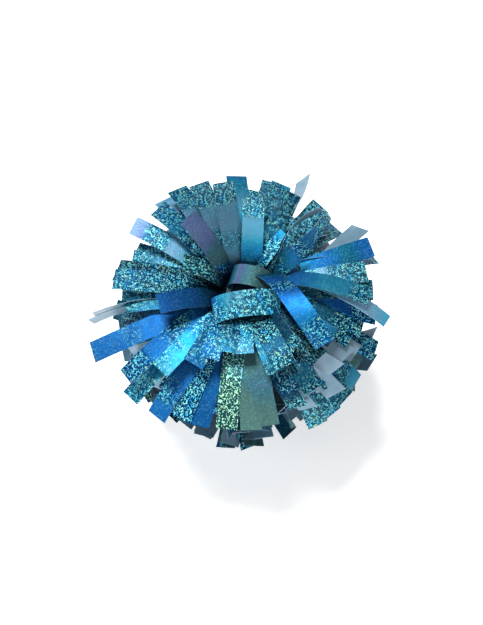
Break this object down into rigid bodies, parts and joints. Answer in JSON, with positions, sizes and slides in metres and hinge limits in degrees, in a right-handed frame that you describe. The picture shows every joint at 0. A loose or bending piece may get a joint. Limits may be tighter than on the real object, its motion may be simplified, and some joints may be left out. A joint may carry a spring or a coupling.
{
  "type": "cheer pom pom",
  "caption": "Round cheerleading pom pom of metallic blue holographic film streamers, tied in two brushes at the ends of a short plastic baton handle.",
  "frame": {"origin": "centre of the hand grip, on the baton's axis", "axes": "+Z along the baton towards the upper brush, which is also up when the pom pom stands on its lower brush; +X towards the middle of upper tuft 1"},
  "size_m": [0.2786, 0.2786, 0.2554],
  "materials": {
    "holographic_film": "metallic holographic film, glossy, plain pale grey-lilac back",
    "baton_plastic": "smooth injection-moulded plastic",
    "plug_plastic": "smooth injection-moulded plastic",
    "tie_nylon": "natural nylon"
  },
  "bodies": {
    "baton": {"baton_grip": "baton_plastic", "end_plug_top": "plug_plastic", "cable_tie_top": "tie_nylon", "crown_band_top_over": "holographic_film", "crown_band_top_under": "holographic_film", "end_plug_bottom": "plug_plastic", "cable_tie_bottom": "tie_nylon", "crown_band_bottom_over": "holographic_film", "crown_band_bottom_under": "holographic_film"},
    "top_tuft_1": {"film_top_1_inner": "holographic_film", "film_top_1_middle": "holographic_film", "film_top_1_outer": "holographic_film"},
    "top_tuft_2": {"film_top_2_inner": "holographic_film", "film_top_2_middle": "holographic_film", "film_top_2_outer": "holographic_film"},
    "top_tuft_3": {"film_top_3_inner": "holographic_film", "film_top_3_middle": "holographic_film", "film_top_3_outer": "holographic_film"},
    "top_tuft_4": {"film_top_4_inner": "holographic_film", "film_top_4_middle": "holographic_film", "film_top_4_outer": "holographic_film"},
    "top_tuft_5": {"film_top_5_inner": "holographic_film", "film_top_5_middle": "holographic_film", "film_top_5_outer": "holographic_film"},
    "top_tuft_6": {"film_top_6_inner": "holographic_film", "film_top_6_middle": "holographic_film", "film_top_6_outer": "holographic_film"},
    "bottom_tuft_1": {"film_bottom_1_inner": "holographic_film", "film_bottom_1_middle": "holographic_film", "film_bottom_1_outer": "holographic_film"},
    "bottom_tuft_2": {"film_bottom_2_inner": "holographic_film", "film_bottom_2_middle": "holographic_film", "film_bottom_2_outer": "holographic_film"},
    "bottom_tuft_3": {"film_bottom_3_inner": "holographic_film", "film_bottom_3_middle": "holographic_film", "film_bottom_3_outer": "holographic_film"},
    "bottom_tuft_4": {"film_bottom_4_inner": "holographic_film", "film_bottom_4_middle": "holographic_film", "film_bottom_4_outer": "holographic_film"},
    "bottom_tuft_5": {"film_bottom_5_inner": "holographic_film", "film_bottom_5_middle": "holographic_film", "film_bottom_5_outer": "holographic_film"},
    "bottom_tuft_6": {"film_bottom_6_inner": "holographic_film", "film_bottom_6_middle": "holographic_film", "film_bottom_6_outer": "holographic_film"}
  },
  "joints": [
    {"name": "top_tuft_1_lift", "type": "hinge", "parent": "baton", "child": "top_tuft_1", "pos_m": [0.0087, 0, 0.0516], "axis": [0, -1, 0], "range_deg": [0, 8], "stiffness_Nm_per_rad": 0.7},
    {"name": "top_tuft_2_lift", "type": "hinge", "parent": "baton", "child": "top_tuft_2", "pos_m": [0.00435, 0.00753, 0.0516], "axis": [0.866, -0.5, 0], "range_deg": [0, 8], "stiffness_Nm_per_rad": 0.7},
    {"name": "top_tuft_3_lift", "type": "hinge", "parent": "baton", "child": "top_tuft_3", "pos_m": [-0.00435, 0.00753, 0.0516], "axis": [0.866, 0.5, 0], "range_deg": [0, 8], "stiffness_Nm_per_rad": 0.7},
    {"name": "top_tuft_4_lift", "type": "hinge", "parent": "baton", "child": "top_tuft_4", "pos_m": [-0.0087, 0, 0.0516], "axis": [0, 1, 0], "range_deg": [0, 8], "stiffness_Nm_per_rad": 0.7},
    {"name": "top_tuft_5_lift", "type": "hinge", "parent": "baton", "child": "top_tuft_5", "pos_m": [-0.00435, -0.00753, 0.0516], "axis": [-0.866, 0.5, 0], "range_deg": [0, 8], "stiffness_Nm_per_rad": 0.7},
    {"name": "top_tuft_6_lift", "type": "hinge", "parent": "baton", "child": "top_tuft_6", "pos_m": [0.00435, -0.00753, 0.0516], "axis": [-0.866, -0.5, 0], "range_deg": [0, 8], "stiffness_Nm_per_rad": 0.7},
    {"name": "bottom_tuft_1_lift", "type": "hinge", "parent": "baton", "child": "bottom_tuft_1", "pos_m": [0.00753, 0.00435, -0.0516], "axis": [-0.5, 0.866, 0], "range_deg": [0, 8], "stiffness_Nm_per_rad": 0.7},
    {"name": "bottom_tuft_2_lift", "type": "hinge", "parent": "baton", "child": "bottom_tuft_2", "pos_m": [0, 0.0087, -0.0516], "axis": [-1, 0, 0], "range_deg": [0, 8], "stiffness_Nm_per_rad": 0.7},
    {"name": "bottom_tuft_3_lift", "type": "hinge", "parent": "baton", "child": "bottom_tuft_3", "pos_m": [-0.00753, 0.00435, -0.0516], "axis": [-0.5, -0.866, 0], "range_deg": [0, 8], "stiffness_Nm_per_rad": 0.7},
    {"name": "bottom_tuft_4_lift", "type": "hinge", "parent": "baton", "child": "bottom_tuft_4", "pos_m": [-0.00753, -0.00435, -0.0516], "axis": [0.5, -0.866, 0], "range_deg": [0, 8], "stiffness_Nm_per_rad": 0.7},
    {"name": "bottom_tuft_5_lift", "type": "hinge", "parent": "baton", "child": "bottom_tuft_5", "pos_m": [0, -0.0087, -0.0516], "axis": [1, 0, 0], "range_deg": [0, 8], "stiffness_Nm_per_rad": 0.7},
    {"name": "bottom_tuft_6_lift", "type": "hinge", "parent": "baton", "child": "bottom_tuft_6", "pos_m": [0.00753, -0.00435, -0.0516], "axis": [0.5, 0.866, 0], "range_deg": [0, 8], "stiffness_Nm_per_rad": 0.7}
  ]
}
